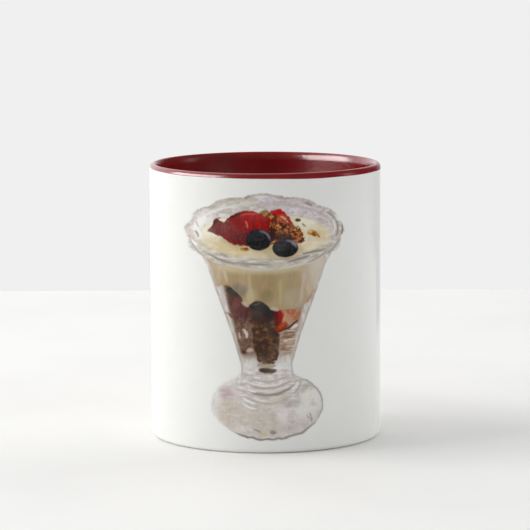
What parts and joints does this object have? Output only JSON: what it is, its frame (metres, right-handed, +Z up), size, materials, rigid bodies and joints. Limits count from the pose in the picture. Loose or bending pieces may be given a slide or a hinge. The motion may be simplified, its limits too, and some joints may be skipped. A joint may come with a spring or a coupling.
{
  "type": "mug",
  "caption": "Straight-sided ceramic mug with a looped strap handle, a dark red glazed inside, lip and handle, and a dessert glass printed on its white front.",
  "frame": {"origin": "on the surface the mug stands on, under the middle of the whole mug with its handle", "axes": "+Z up along the cup's axis, +Y towards the handle, -Y towards the printed front"},
  "size_m": [0.0812, 0.1172, 0.0965],
  "materials": {
    "white_glaze": "gloss",
    "red_glaze": "gloss",
    "bare_clay": "matte",
    "print": "gloss"
  },
  "bodies": {
    "root": {"mug": "white_glaze"}
  },
  "joints": []
}
